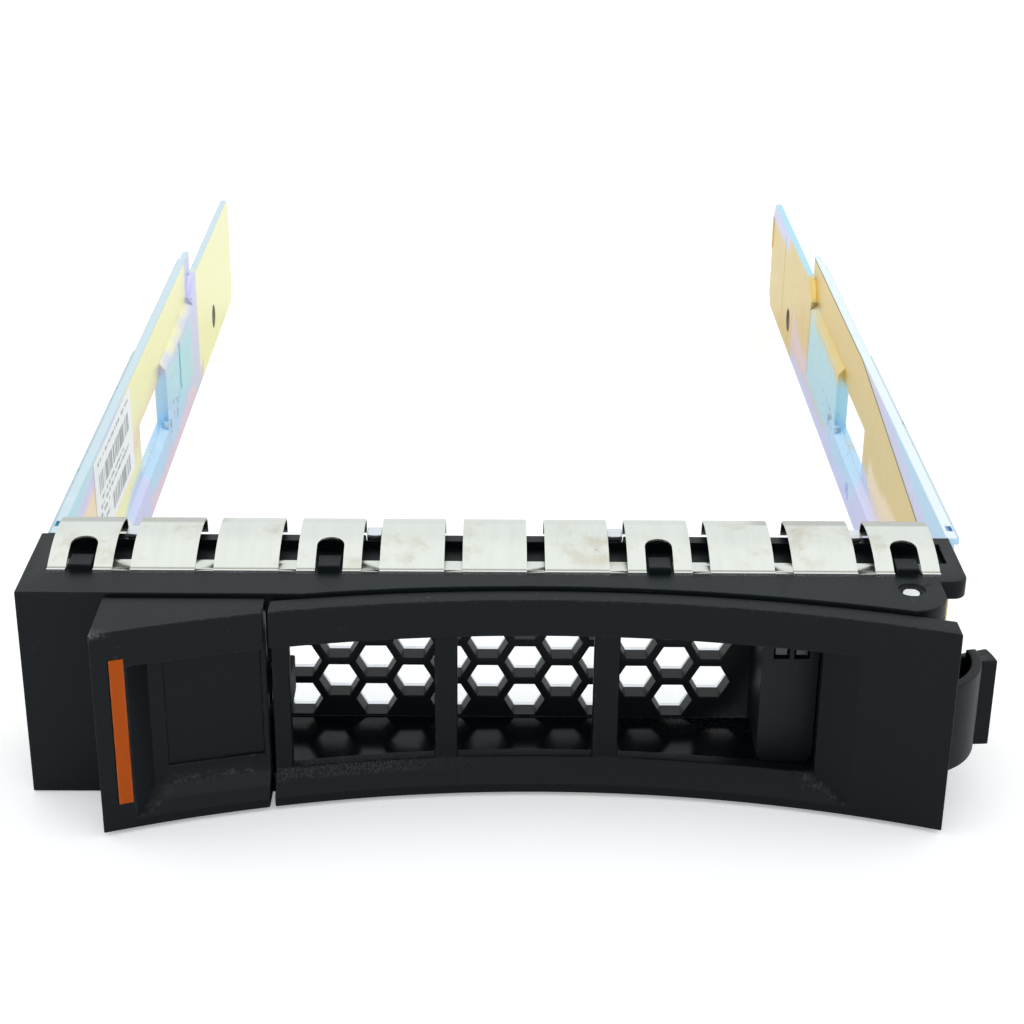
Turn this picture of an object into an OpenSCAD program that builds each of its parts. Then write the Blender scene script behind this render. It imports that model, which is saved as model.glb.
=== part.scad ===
// Hot-swap carrier for a 3.5 inch drive: a plastic bezel with a hinged cam lever and a
// sliding release latch, a spring-finger shield, and two sheet-metal rails.
// X runs across the front, +Y towards the connector end and +Z up. The origin is the
// middle of the bezel's underside, on the centreline between the rails.

/* [Bezel] */
// Distance from the rails' centreline to the bezel's left face
bezel_left = 53.9; // [53.7:0.1:55]
// Distance from the rails' centreline to the bezel's right face
bezel_right = 51.9; // [51.7:0.1:52.5]
// Height of the bezel
bezel_height = 25.5; // [25.2:0.1:26.5]
// Depth of the bezel, front face to back face
bezel_depth = 15.4; // [15.2:0.1:16]
// Thickness of the bezel's outer walls
wall = 1.6; // [1.2:0.1:2]
// Thickness of the bezel's top plate
top_thickness = 2.2; // [1.8:0.1:2.4]
// Thickness of the bezel's floor plate
floor_thickness = 2.6; // [2:0.1:2.8]
// Thickness of the ventilated wall at the back of the bezel
mesh_thickness = 2.6; // [2.2:0.1:2.8]

/* [Ventilation holes] */
// Distance across the flats of one hexagonal hole
hex_flats = 4.15; // [3.4:0.05:4.3]
// Distance between neighbouring columns of holes
hex_column_pitch = 4.41; // [4.35:0.01:4.6]
// Distance between the holes of one column
hex_row_pitch = 5.08; // [5:0.01:5.2]

/* [Lever] */
// Radius of the lever's hollow front face
lever_radius = 135; // [130:1:145]
// Height of the lever and of the latch
lever_height = 24.7; // [24:0.1:24.8]
// Right end of the lever, from the centreline
lever_right = 48.85; // [48.5:0.05:49.1]
// Depth of the finger recess below the front face
recess_depth = 2.2; // [1.8:0.1:2.4]
// Clearance between the lever and the parts around it
clearance = 0.3; // [0.2:0.05:0.4]
// Diameter of the hinge pin
pin_diameter = 2.2; // [2:0.1:2.4]

/* [Latch] */
// Left end of the latch, from the centreline
latch_left = 44.2; // [43.8:0.1:44.5]
// Right end of the latch, from the centreline
latch_right = 26.35; // [26.25:0.05:26.6]
// How far the latch slides
latch_travel = 2.5; // [2:0.1:2.6]

/* [Shield strip] */
// Number of spring fingers
finger_count = 11; // [11:1:11]
// Distance between neighbouring fingers
finger_pitch = 9.3; // [9.2:0.05:9.3]
// Width of one finger
finger_width = 7.25; // [6.8:0.05:7.4]
// Height of a finger's crest above the bezel
finger_rise = 2.1; // [1.6:0.1:2.4]

/* [Rails] */
// Distance from the centreline to the inner face that holds the drive
rail_inner = 51.0; // [50.9:0.05:51.1]
// Thickness of the rail's sheet metal
sheet = 1; // [0.8:0.1:1.1]
// Rear end of the rails, behind the bezel's front face
rail_end = 171; // [168:1:176]
// Height of the rail's lower edge
rail_bottom = 2; // [1.5:0.1:2.5]
// Top of the taller front part of the rail
rail_top = 25.2; // [24:0.1:25.4]
// Top of the lower rear part of the rail
rail_rear_top = 21.8; // [20:0.1:22.5]
// Place of the rear drive screw, behind the bezel's front face
rear_screw_y = 145; // [142:0.5:147]
// Distance between the two outer drive screws, set by the drive's standard
screw_spacing = 101.6; // [101.6:0.1:101.6]
// Height of the drive screws
screw_z = 7.4; // [7:0.1:7.6]
// Diameter of the hole for a drive screw
screw_hole = 3.8; // [3.6:0.1:4]

/* [Hidden] */
$fn = 64;
eps = 0.01;
far = 60;

// Heights shared by the plates, the lever and the latch
top_under = bezel_height - top_thickness;
lever_bottom = 0.4;
lever_top = lever_bottom + lever_height;
inner_low = floor_thickness + clearance;
inner_high = top_under - clearance;

// The hinge
pin_x = 45.1;
pin_y = 1.9;
pin_r = pin_diameter / 2;
pin_sink = 0.35;
counterbore_r = 1.5;
running_gap = 0.05;
hub_r = 2.6;

// The two arcs that bound the lever in plan
front_x = 4;
front_y = -0.5 - lever_radius;
back_x = 3.5;
back_radius = 154;
back_y = 2.2 - back_radius;
function arc_front(x) = front_y + sqrt(pow(lever_radius, 2) - pow(x - front_x, 2));

// The bezel's outline beside the hinge
ear_x = 44.6;
ear_y = 0.7;
ear_r = 4.1;
cheek_y = 3.8;
cheek_r = 1.6;
chin_x = 26;
chin_y = -4.5;
chin_depth = 6;
mesh_front = bezel_depth - mesh_thickness;

// The recess across the lever and the latch
recess_low = 1.65;
recess_floor = 4;
recess_high = 20.6;
panel_depth = 1.6;

// The windows in the lever, between its two ribs
lever_left = -25.8;
windows = [[-23.9, -7.9], [-5.3, 10.1], [13, 35.2]];
bevel_right = 38.9;
panel_right = 41;

// The cam on the lever's hinge end
cam_r = 8.5;
cam_wall = 1.2;
cam_z = [6.5, 17.2];
lug_r = 10.8;
lug_z = [5.2, 16.1];
web_x = [42.6, 47.4];
web_front = -5.4;

// The latch behind its pad
stem = [[-38, -34], [9.5, 16]];
foot_x = [-40, -32];
foot_y = [1.9, 7];
foot_z = [10.6, 15];
foot_pad_inset = 1;
foot_pad_t = 1.2;
foot_pad_z = [8, 17.4];
nose_y = [1.9, 3.6];
keeper_overhang = 0.1;
catch_gap = 0.4;
spring_seat = -50;
spring_y = 5.2;
spring_z = 12.8;
seat_front = 2.8;
seat_z = [9.4, 16.2];
partition_x = -29.5;

// The finger inset and the coloured stripe in the latch's pad
inset_x = [-37.3, -27];
inset_z = [6.3, 20.2];
inset_depth = 0.35;
stripe_x = [-42.35, -40.85];
stripe_z = [3.8, 21.7];
stripe_depth = 1.5;
stripe_proud = 0.12;

// The wall between the cavity and the hinge
cavity_wall_x = [36.2, 37.4];
cavity_wall_front = 3.5;

// The two light pipes
pipe_z = 16.87;
pipe_w = 1.8;
pipe_h = 1.7;
pipe_x = [31.4, 33.75];
block_x = [29.2, 35.7];
block_y = 3;
block_top = 21.5;
pipe_end = 17.6;
pipe_way = [2, 2.2];
pipe_gap = 0.2;

// The metal front plate and what holds it
plate_y = bezel_depth;
plate_t = 0.8;
flange_y = plate_y + plate_t;
plate_half_width = 50.8;
plate_z = [1.2, 24.6];
notch_low = 24.4;
tab_gaps = [1, 4, 7, 10];
tab_front = plate_y - 1.4;
frame_screw_x = 47.2;
frame_screw_z = [7.5, 18.5];
frame_screw_r = 1;
frame_screw_fit = 0.1;

// The shield strip
strip_x = -51.3;
strip_y = 5.2;
strip_t = 0.2;
fold_y = 8;
slotted = [0, 3, 7, 10];
crest_y = 13.2;
pocket_y = [8.6, 13.6];
pocket_depth = 0.9;
pocket_margin = 0.3;
pocket_right = 50.3;

// The rails
jog = 0.9;
wide_flange_end = 78;
front_end = 126;
step_y = 122;
pocket_start = 91.7;
pad_y = [38.4, 48.4];
low_jog_z = 7.6;
pad_jog_z = 11;
pocket_jog_z = 17.5;
window_y = [71.2, 91.2];
window_z = [9, 16.3];
slit_y = [104.2, 105.7];
slit_z = [9, 16.8];
hook_slot_y = [18, 19.6];
hook_slot_x = [0.3, 1.0];
small_hole_y = 76.5;
small_hole_z = 4.4;
small_hole_r = 1.3;
flange_width = 3.2;
flange_z = [4, 22];
front_screw_y = rear_screw_y - screw_spacing;

// The sticker inside the left rail
label_y = [37.2, 65];
label_z = [12.6, 24.6];

// Everything is drawn with Y = 0 at the bezel's front face and then put in the frame
module placed() {
    translate([0, -bezel_depth / 2, 0]) children();
}

// A box given by its low and high ends along each axis
module block(x, y, z) {
    translate([x[0], y[0], z[0]]) cube([x[1] - x[0], y[1] - y[0], z[1] - z[0]]);
}

// A cylinder along Y from y[0] to y[1]
module bar_y(x, z, r, y) {
    translate([x, y[1], z]) rotate([90, 0, 0]) cylinder(r = r, h = y[1] - y[0]);
}

// A cylinder along X from x[0] to x[1]
module bar_x(y, z, r, x) {
    translate([x[0], y, z]) rotate([0, 90, 0]) cylinder(r = r, h = x[1] - x[0]);
}

// ---- Shared outlines ----

// The bezel's outline from above
module bezel_plan() {
    difference() {
        union() {
            translate([-bezel_left, 0]) square([bezel_left + ear_x, bezel_depth]);
            translate([chin_x, chin_y]) square([ear_x - chin_x, chin_depth]);
            translate([ear_x, ear_y]) circle(ear_r);
            translate([ear_x, ear_y]) square([ear_r, bezel_depth - ear_y]);
            // The cheek beside the hinge, with a rounded front corner
            hull() {
                translate([ear_x, cheek_y]) square([1, bezel_depth - cheek_y]);
                translate([bezel_right - 1, mesh_front]) square([1, bezel_depth - mesh_front]);
                translate([bezel_right - cheek_r, cheek_y + cheek_r]) circle(cheek_r);
            }
        }
        translate([back_x, back_y]) circle(back_radius, $fn = 256);
        translate([ear_x - 1, -9]) square([9, 9 + ear_y - ear_r]);
    }
}

// The band between the lever's front face and its back face, from above
module lever_plan(x) {
    intersection() {
        difference() {
            translate([back_x, back_y]) circle(back_radius - clearance, $fn = 256);
            translate([front_x, front_y]) circle(lever_radius, $fn = 256);
        }
        translate([x[0], -far]) square([x[1] - x[0], 2 * far]);
    }
}

// A ring that follows the front face, between two depths below it and two heights
module face_ring(depth, z, x) {
    intersection() {
        translate([front_x, front_y, 0]) rotate_extrude($fn = 256) {
            translate([lever_radius + depth[0], z[0]]) square([depth[1] - depth[0], z[1] - z[0]]);
        }
        block(x, [-far, far], [z[0] - 1, z[1] + 1]);
    }
}

// The recess that runs across the latch and the lever, with its sloping lower edge
module recess(plan) {
    over = 3;
    slope = (recess_floor - recess_low) / recess_depth;
    intersection() {
        translate([front_x, front_y, 0]) rotate_extrude($fn = 256) {
            polygon([[lever_radius - over, recess_low - over * slope],
                     [lever_radius + recess_depth, recess_floor],
                     [lever_radius + recess_depth, recess_high],
                     [lever_radius - over, recess_high]]);
        }
        translate([0, 0, -1]) linear_extrude(lever_top) polygon(plan);
    }
}

// One hexagonal hole along Y, points to the left and right
module hex_hole(x, z, flats, y) {
    translate([x, y[1], z]) rotate([90, 0, 0]) {
        cylinder(r = flats / sqrt(3), h = y[1] - y[0], $fn = 6);
    }
}

// The staggered field of hexagonal holes
module hex_field(flats, y) {
    first_x = -23.96;
    first_z = 5;
    for (column = [0 : 11]) {
        shifted = column % 2;
        for (row = [0 : 3 - shifted]) {
            hex_hole(first_x + column * hex_column_pitch,
                     first_z + (row + shifted / 2) * hex_row_pitch, flats, y);
        }
    }
}

// Bores along Y for the frame screws
module screw_bores(r, y) {
    for (x = [-frame_screw_x, frame_screw_x], z = frame_screw_z) {
        bar_y(x, z, r, y);
    }
}

// Square ways along Y for the two light pipes
module pipe_ways(y) {
    for (x = pipe_x) {
        block([x - pipe_way[0] / 2, x + pipe_way[0] / 2], y,
              [pipe_z - pipe_way[1] / 2, pipe_z + pipe_way[1] / 2]);
    }
}

// ---- Bezel ----

function finger_x(i) = strip_x + i * finger_pitch;
function gap_x(i) = finger_x(i) - (finger_pitch - finger_width) / 2;

module bezel_shell() {
    linear_extrude(floor_thickness) bezel_plan();
    translate([0, 0, top_under]) linear_extrude(top_thickness) bezel_plan();
    block([-bezel_left, -bezel_left + wall], [0, bezel_depth], [0, bezel_height]);
    block([-bezel_left, partition_x], [0, wall], [0, bezel_height]);
    block([partition_x - wall, partition_x], [0, bezel_depth], [0, bezel_height]);
    block(cavity_wall_x, [cavity_wall_front, bezel_depth], [0, bezel_height]);
    block([-bezel_left, bezel_right], [mesh_front, bezel_depth], [0, bezel_height]);
    block([-bezel_left + wall - eps, spring_seat], [seat_front, mesh_front], seat_z);
}

// Tabs that stand in the shield strip's slotted fingers and keep it in place
module strip_tabs() {
    tab_w = 2.5;
    tab_y = [5.5, 8.3];
    tab_top = 0.75;
    root = 1.2;
    for (i = slotted) {
        centre = finger_x(i) + finger_width / 2;
        block([centre - tab_w / 2, centre + tab_w / 2], tab_y,
              [bezel_height - root, bezel_height + tab_top]);
    }
}

module bezel_housing() {
    guide_gap = 0.3;
    notch_w = 2;
    notch_gap = 0.2;
    color("#1c1c1e") placed() {
        difference() {
            union() {
                bezel_shell();
                strip_tabs();
            }
            // Shallow channel under the fingers
            block([strip_x - pocket_margin, pocket_right], pocket_y,
                  [bezel_height - pocket_depth, bezel_height + eps]);
            hex_field(hex_flats, [mesh_front - eps, bezel_depth + eps]);
            // Notches for the front plate's tabs
            for (i = tab_gaps) {
                block([gap_x(i) - notch_w / 2, gap_x(i) + notch_w / 2],
                      [tab_front - notch_gap, bezel_depth + eps], [notch_low, bezel_height + eps]);
            }
            // The pin's holes and its counterbore
            translate([pin_x, pin_y, lever_bottom]) cylinder(r = pin_r, h = far);
            translate([pin_x, pin_y, bezel_height - pin_sink]) {
                cylinder(r = counterbore_r, h = 1);
            }
            // The slot for the latch's stem, and the way for its nose
            block([stem[0][0] - latch_travel - guide_gap, stem[0][1] + guide_gap],
                  [-eps, wall + eps], [stem[1][0] - guide_gap, stem[1][1] + guide_gap]);
            block([partition_x - wall - eps, partition_x + eps],
                  [foot_y[0] - guide_gap, foot_y[1] + guide_gap],
                  [foot_z[0] - guide_gap, foot_z[1] + guide_gap]);
            screw_bores(frame_screw_r, [mesh_front - 1, bezel_depth + 1]);
            pipe_ways([mesh_front - eps, bezel_depth + eps]);
        }
    }
}

module front_plate() {
    tab_w = 1.7;
    tab_t = 0.6;
    color("#cfd3d6") placed() {
        difference() {
            union() {
                block([-plate_half_width, plate_half_width], [plate_y, plate_y + plate_t],
                      plate_z);
                for (i = tab_gaps) {
                    block([gap_x(i) - tab_w / 2, gap_x(i) + tab_w / 2],
                          [plate_y, plate_y + plate_t],
                          [plate_z[1] - 0.1, bezel_height + tab_t]);
                    block([gap_x(i) - tab_w / 2, gap_x(i) + tab_w / 2],
                          [tab_front, plate_y + plate_t],
                          [bezel_height, bezel_height + tab_t]);
                }
            }
            hex_field(hex_flats + 0.2, [plate_y - 1, plate_y + 2]);
            screw_bores(frame_screw_r + frame_screw_fit, [plate_y - 1, plate_y + 2]);
            pipe_ways([plate_y - 1, plate_y + 2]);
        }
    }
}

// One finger in side view: a long rise, a flat run back, a tight curl and a short leg down
module finger_side() {
    rise_r = (pow(crest_y - strip_y, 2) + pow(finger_rise - strip_t, 2))
             / (2 * (finger_rise - strip_t));
    rise_a = asin((crest_y - strip_y) / rise_r);
    back_r = 11.6;
    back_a = 14;
    curl_r = 1.2;
    curl_a = 80;
    crest_z = bezel_height + finger_rise;
    curl_y = crest_y + (back_r - curl_r) * sin(back_a);
    curl_z = crest_z - back_r + (back_r - curl_r) * cos(back_a);
    leg = 1.3;
    steps = 8;
    // Points at a depth d below the outer face
    function rise(d) = [for (i = [0 : steps]) let (a = rise_a * (1 - i / steps))
        [crest_y - (rise_r - d) * sin(a), crest_z - rise_r + (rise_r - d) * cos(a)]];
    function back(d) = [for (i = [1 : steps - 1]) let (a = back_a * i / steps)
        [crest_y + (back_r - d) * sin(a), crest_z - back_r + (back_r - d) * cos(a)]];
    function curl(d) = [for (i = [0 : steps]) let (a = back_a + (curl_a - back_a) * i / steps)
        [curl_y + (curl_r - d) * sin(a), curl_z + (curl_r - d) * cos(a)]];
    function end(d) = [[curl_y + (curl_r - d) * sin(curl_a) + leg * cos(curl_a),
                        curl_z + (curl_r - d) * cos(curl_a) - leg * sin(curl_a)]];
    outer = concat(rise(0), back(0), curl(0), end(0));
    inner = concat(rise(strip_t), back(strip_t), curl(strip_t), end(strip_t));
    polygon(concat(outer, [for (i = [len(inner) - 1 : -1 : 0]) inner[i]]));
}

module shield_strip() {
    slot_w = 3.1;
    slot_end = 10.6;
    lip_h = 0.36;
    length = finger_x(finger_count - 1) + finger_width - strip_x;
    color("#b9b4a8") placed() {
        difference() {
            union() {
                block([strip_x, strip_x + length], [strip_y, fold_y],
                      [bezel_height, bezel_height + strip_t]);
                for (i = [0 : finger_count - 1]) {
                    translate([finger_x(i), 0, 0]) rotate([90, 0, 90]) {
                        linear_extrude(finger_width) finger_side();
                    }
                    block([finger_x(i), finger_x(i) + finger_width],
                          [strip_y - strip_t, strip_y + strip_t],
                          [bezel_height, bezel_height + lip_h]);
                }
            }
            for (i = slotted) {
                centre = finger_x(i) + finger_width / 2;
                block([centre - slot_w / 2, centre + slot_w / 2],
                      [strip_y - 1, slot_end - slot_w / 2], [bezel_height - 1, bezel_height + 3]);
                translate([centre, slot_end - slot_w / 2, bezel_height - 1]) {
                    cylinder(r = slot_w / 2, h = 4);
                }
            }
        }
    }
}

// ---- Lever and hinge ----

// A pie slice about the pin, between two angles
module slice(r, a) {
    steps = 4;
    reach = r / cos((a[1] - a[0]) / steps / 2);
    intersection() {
        circle(r);
        polygon(concat([[0, 0]], [for (i = [0 : steps]) let (t = a[0] + (a[1] - a[0]) * i / steps)
            [reach * cos(t), reach * sin(t)]]));
    }
}

// The curved cam wall with its lug, about the pin
module cam() {
    cam_start = -76;
    web_angle = 12;
    lug_angles = [4, 21];
    difference() {
        union() {
            translate([pin_x, pin_y, cam_z[0]]) linear_extrude(cam_z[1] - cam_z[0]) {
                slice(cam_r, [cam_start, web_angle]);
            }
            translate([pin_x, pin_y, lug_z[0]]) linear_extrude(lug_z[1] - lug_z[0]) {
                slice(lug_r, lug_angles);
            }
        }
        translate([pin_x, pin_y, 0]) linear_extrude(far) {
            slice(cam_r - cam_wall, [cam_start - 4, web_angle + 2]);
        }
    }
}

module lever_body() {
    translate([0, 0, lever_bottom]) linear_extrude(lever_height) {
        lever_plan([lever_left, lever_right]);
    }
    face_ring([1, recess_depth + panel_depth], [inner_low, inner_high],
              [lever_left, panel_right]);
}

module lever() {
    keeper_x = [-25.4, -23.9];
    keeper_y = [-1, 5.4];
    hook_y = [nose_y[1] + clearance, keeper_y[1]];
    bevel_y = arc_front(windows[2][1]) + recess_depth;
    bevel_front_y = arc_front(bevel_right);
    bevel_slope = (bevel_right - windows[2][1]) / (bevel_y - bevel_front_y);
    plan = [[-30, -20], [-30, 12], [windows[2][1], 12], [windows[2][1], bevel_y],
            [windows[2][1] + (bevel_y + 14) * bevel_slope, -14], [60, -20]];
    color("#1c1c1e") placed() {
        difference() {
            union() {
                difference() {
                    lever_body();
                    recess(plan);
                    for (w = windows) {
                        block(w, [-far, far], [recess_floor, recess_high]);
                    }
                }
                // The keeper that the latch holds
                block(keeper_x, keeper_y, foot_z);
                block([lever_left - keeper_overhang, keeper_x[1]], hook_y, foot_z);
                // The hinge barrel, the web to it and the cam
                translate([pin_x, pin_y, inner_low]) cylinder(r = hub_r, h = inner_high - inner_low);
                block(web_x, [web_front, pin_y], [inner_low, lug_z[1]]);
                cam();
            }
            translate([pin_x, pin_y, 0]) cylinder(r = pin_r + running_gap, h = far);
        }
    }
}

module hinge_pin() {
    chamfer = 0.2;
    length = bezel_height - pin_sink - lever_bottom;
    color("#d8dadc") placed() translate([pin_x, pin_y, lever_bottom]) {
        rotate_extrude() polygon([[0, 0], [pin_r - chamfer, 0], [pin_r, chamfer],
                                  [pin_r, length - chamfer], [pin_r - chamfer, length],
                                  [0, length]]);
    }
}

// ---- Springs ----

// A round wire bent along a helix about +Z, with a straight tangent leg at each end
module coil(mean_r, wire_r, pitch, turns, start_leg, end_leg) {
    per_turn = 16;
    sides = 6;
    count = turns * per_turn;
    // Centre of the wire: the start leg, the turns and the end leg
    function turn_point(i) = [mean_r * cos(i * 360 / per_turn), mean_r * sin(i * 360 / per_turn),
                              i * pitch / per_turn];
    function tangent(i) = [-sin(i * 360 / per_turn), cos(i * 360 / per_turn), 0];
    turn_path = [for (i = [0 : count]) turn_point(i)];
    path = concat(start_leg > 0 ? [turn_point(0) - start_leg * tangent(0)] : [], turn_path,
                  end_leg > 0 ? [turn_point(count) + end_leg * tangent(count)] : []);
    first = start_leg > 0 ? 1 : 0;
    last = len(path) - 1;
    // The ring of points about each centre, square to the wire in plan
    function angle(k) = (k - first < 0 ? 0 : min(k - first, count)) * 360 / per_turn;
    rings = [for (k = [0 : last], s = [0 : sides - 1])
        path[k] + wire_r * (cos(s * 360 / sides) * [cos(angle(k)), sin(angle(k)), 0]
                            + sin(s * 360 / sides) * [0, 0, 1])];
    walls = [for (k = [0 : last - 1], s = [0 : sides - 1])
        [k * sides + s, k * sides + (s + 1) % sides,
         (k + 1) * sides + (s + 1) % sides, (k + 1) * sides + s]];
    polyhedron(rings, concat(walls, [[for (s = [sides - 1 : -1 : 0]) s]],
                             [[for (s = [0 : sides - 1]) last * sides + s]]));
}

module lever_spring() {
    mean_r = 3.4;
    wire_r = 0.35;
    pitch = 0.85;
    turns = 5.75;
    legs = [3, 2.6];
    start_angle = 150;
    base_z = 17.2;
    color("#9ea2a6") placed() translate([pin_x, pin_y, base_z]) {
        rotate([0, 0, start_angle]) coil(mean_r, wire_r, pitch, turns, legs[0], legs[1]);
    }
}

module latch_spring() {
    mean_r = 1.5;
    wire_r = 0.25;
    turns = 6;
    length = foot_x[0] - spring_seat - 2 * wire_r;
    color("#9ea2a6") placed() translate([spring_seat + wire_r, spring_y, spring_z]) {
        rotate([0, 90, 0]) coil(mean_r, wire_r, length / turns, turns, 0, 0);
    }
}

// ---- Latch ----

module release_latch() {
    wedge = [-38.9, -40.6];
    wedge_y = arc_front(wedge[0]) + recess_depth;
    wedge_slope = (wedge[0] - wedge[1]) / (wedge_y - arc_front(wedge[1]));
    plan = [[wedge[0], 12], [wedge[0], wedge_y], [wedge[0] - (wedge_y + 14) * wedge_slope, -14],
            [-20, -20], [-20, 12]];
    color("#1c1c1e") placed() {
        difference() {
            translate([0, 0, lever_bottom]) linear_extrude(lever_height) difference() {
                translate([-latch_left, -20]) square([latch_left - latch_right, 20 - clearance]);
                translate([front_x, front_y]) circle(lever_radius, $fn = 256);
            }
            recess(plan);
            face_ring([0, recess_depth + inset_depth], inset_z, inset_x);
            face_ring([-1, stripe_depth], stripe_z, stripe_x);
        }
        block(stem[0], [-clearance - eps, foot_y[0] + eps], stem[1]);
        block(foot_x, foot_y, foot_z);
        // The wide pad that stops the foot behind the slot, and the nose that holds the keeper
        block([foot_x[0] + foot_pad_inset, foot_x[1] - foot_pad_inset],
              [foot_y[0], foot_y[0] + foot_pad_t], foot_pad_z);
        block([foot_x[1] - eps, lever_left - keeper_overhang - catch_gap], nose_y, foot_z);
    }
}

module touch_stripe() {
    color("#d2642c") placed() face_ring([-stripe_proud, stripe_depth], stripe_z, stripe_x);
}

// ---- Indicators ----

module indicator_block() {
    corner = 1;
    color("#232326") placed() {
        difference() {
            intersection() {
                block(block_x, [block_y, mesh_front], [floor_thickness, block_top]);
                translate([0, mesh_front, 0]) rotate([90, 0, 0]) {
                    linear_extrude(mesh_front - block_y) {
                        translate([block_x[0], floor_thickness + corner]) square([far, far]);
                        translate([block_x[0] + corner, floor_thickness]) {
                            square([block_x[1] - block_x[0] - 2 * corner, far]);
                        }
                        for (x = [block_x[0] + corner, block_x[1] - corner]) {
                            translate([x, floor_thickness + corner]) circle(corner);
                        }
                    }
                }
            }
            for (x = pipe_x) {
                block([x - pipe_w / 2, x + pipe_w / 2], [block_y - eps, mesh_front + eps],
                      [pipe_z - pipe_h / 2, pipe_z + pipe_h / 2]);
            }
        }
    }
}

// A clear square rod from its window to behind the front plate, with a bevelled end
module light_pipe(x) {
    recess_y = 0.55;
    half_w = pipe_w / 2 - pipe_gap;
    half_h = pipe_h / 2 - pipe_gap;
    bevel = 0.6;
    placed() translate([x - half_w, 0, 0]) rotate([90, 0, 90]) linear_extrude(2 * half_w) {
        polygon([[block_y + recess_y, pipe_z - half_h], [pipe_end, pipe_z - half_h],
                 [pipe_end, pipe_z + half_h - bevel], [pipe_end - bevel, pipe_z + half_h],
                 [block_y + recess_y, pipe_z + half_h]]);
    }
}

module activity_light_pipe() {
    color("#c9d0d2") light_pipe(pipe_x[0]);
}

module fault_light_pipe() {
    color("#c9d0d2") light_pipe(pipe_x[1]);
}

// ---- Rails ----

// Cross-section of a rail, out from its inner face, with the outward step at height z
module rail_section(z, flange) {
    step_h = 1;
    polygon([[0, rail_bottom], [sheet, rail_bottom], [sheet, z - 0.2], [sheet + jog, z - 0.2 + step_h],
             [sheet + jog, rail_top - sheet], [sheet + flange, rail_top - sheet],
             [sheet + flange, rail_top], [jog, rail_top], [jog, z + step_h], [0, z]]);
}

module rail_stretch(y, z, flange) {
    translate([rail_inner, y[1], 0]) rotate([90, 0, 0]) linear_extrude(y[1] - y[0]) {
        rail_section(z, flange);
    }
}

// A drive screw's hole, countersunk from outside
module drive_screw_hole(y) {
    sink = 0.5;
    bar_x(y, screw_z, screw_hole / 2, [rail_inner - 1, rail_inner + 3]);
    translate([rail_inner + sheet - sink, y, screw_z]) rotate([0, 90, 0]) {
        cylinder(r1 = screw_hole / 2, r2 = screw_hole / 2 + sink, h = sink + eps);
    }
    translate([rail_inner + sheet, y, screw_z]) rotate([0, 90, 0]) {
        cylinder(r = screw_hole / 2 + sink, h = 2);
    }
}

// What both rails share, drawn for the right-hand side
module rail() {
    wide = jog + 0.5;
    narrow = jog + 0.3;
    bend = 1;
    corner = 2.2;
    difference() {
        union() {
            rail_stretch([flange_y, pad_y[0]], low_jog_z, wide);
            rail_stretch([pad_y[0] - bend, pad_y[1] + bend], pad_jog_z, wide);
            rail_stretch([pad_y[1], wide_flange_end], low_jog_z, wide);
            rail_stretch([wide_flange_end - eps, pocket_start], low_jog_z, narrow);
            rail_stretch([pocket_start - bend, step_y], pocket_jog_z, narrow);
            // Lap of the front part beyond the step
            block([rail_inner + jog, rail_inner + jog + sheet], [step_y - eps, front_end],
                  [pocket_jog_z + 1, rail_top]);
            // The lower rear part, with its corners cut off
            translate([rail_inner, 0, 0]) rotate([90, 0, 90]) linear_extrude(sheet) {
                polygon([[step_y - bend, rail_bottom], [rail_end - corner, rail_bottom],
                         [rail_end, rail_bottom + corner], [rail_end, rail_rear_top - corner],
                         [rail_end - corner, rail_rear_top], [step_y + 2, rail_rear_top],
                         [step_y - bend, rail_rear_top - 3]]);
            }
            // The flange behind the front plate
            block([frame_screw_x - flange_width, rail_inner + sheet],
                  [flange_y, flange_y + sheet], flange_z);
        }
        block([rail_inner - 1, rail_inner + 4], window_y, window_z);
        // Slot in the top flange
        block([rail_inner + sheet + hook_slot_x[0], rail_inner + sheet + hook_slot_x[1]],
              hook_slot_y, [rail_top - 2 * sheet, rail_top + 1]);
        for (y = [front_screw_y, rear_screw_y]) {
            drive_screw_hole(y);
        }
        screw_bores(frame_screw_r + frame_screw_fit, [flange_y - 1, flange_y + 3]);
    }
}

module left_rail() {
    color("#c9b877") placed() mirror([1, 0, 0]) difference() {
        rail();
        block([rail_inner - 1, rail_inner + 4], slit_y, slit_z);
    }
}

module right_rail() {
    lip = 0.15;
    lip_length = 1.2;
    lip_z = [13, 19];
    color("#b59a55") placed() {
        difference() {
            rail();
            bar_x(small_hole_y, small_hole_z, small_hole_r, [rail_inner - 1, rail_inner + 4]);
        }
        block([rail_inner - lip, rail_inner + eps], [rail_end - lip_length, rail_end], lip_z);
    }
}

// A pan-head screw with a cross recess, pointing to -Y
module frame_screw(x, z) {
    head_r = 1.9;
    head_h = 1.1;
    head_y = flange_y + sheet;
    cross = [2.2, 1.2, 0.5];
    tip_inset = 0.4;
    difference() {
        union() {
            bar_y(x, z, frame_screw_r, [mesh_front + tip_inset, head_y + eps]);
            translate([x, head_y, z]) rotate([-90, 0, 0]) {
                cylinder(r1 = head_r, r2 = head_r - 0.4, h = head_h);
            }
        }
        for (turn = [0, 90]) {
            translate([x, head_y + head_h, z]) rotate([0, turn, 0]) {
                cube(cross, center = true);
            }
        }
    }
}

module frame_screws() {
    color("#b8bcc0") placed() {
        for (x = [-frame_screw_x, frame_screw_x], z = frame_screw_z) {
            frame_screw(x, z);
        }
    }
}

module rail_label() {
    thickness = 0.08;
    face = -rail_inner - jog;
    color("#f2f2ee") placed() block([face, face + thickness], label_y, label_z);
}

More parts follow.
